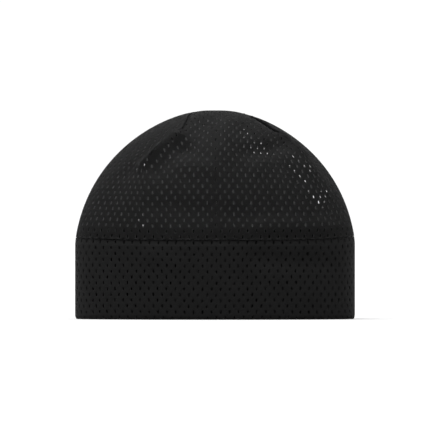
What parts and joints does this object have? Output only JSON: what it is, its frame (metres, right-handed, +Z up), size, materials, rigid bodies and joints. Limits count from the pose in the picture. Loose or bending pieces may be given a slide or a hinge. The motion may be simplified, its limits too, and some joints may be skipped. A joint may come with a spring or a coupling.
{
  "type": "beanie",
  "caption": "Close-fitting mesh cap: a domed crown shaped by darts on a deep double band, open below for a head.",
  "frame": {"origin": "middle of the rim's outline, on the surface that the hat stands on", "axes": "+Z up through the crown, -Y out of the front, +X to the right when the front is looked at"},
  "size_m": [0.226, 0.142, 0.1684],
  "materials": {
    "mesh_cloth": "black open knit mesh, matt with a slight sheen",
    "seam_cloth": "raw edges of the same mesh, overlocked",
    "thread": "black sewing thread"
  },
  "bodies": {
    "root": {"crown": "mesh_cloth", "band": "mesh_cloth", "crown_seam_allowance": "seam_cloth", "dart_allowance_front_left": "seam_cloth", "dart_allowance_front_right": "seam_cloth", "dart_allowance_back_right": "seam_cloth", "dart_allowance_back_left": "seam_cloth", "back_seam_allowance": "seam_cloth"}
  },
  "joints": []
}
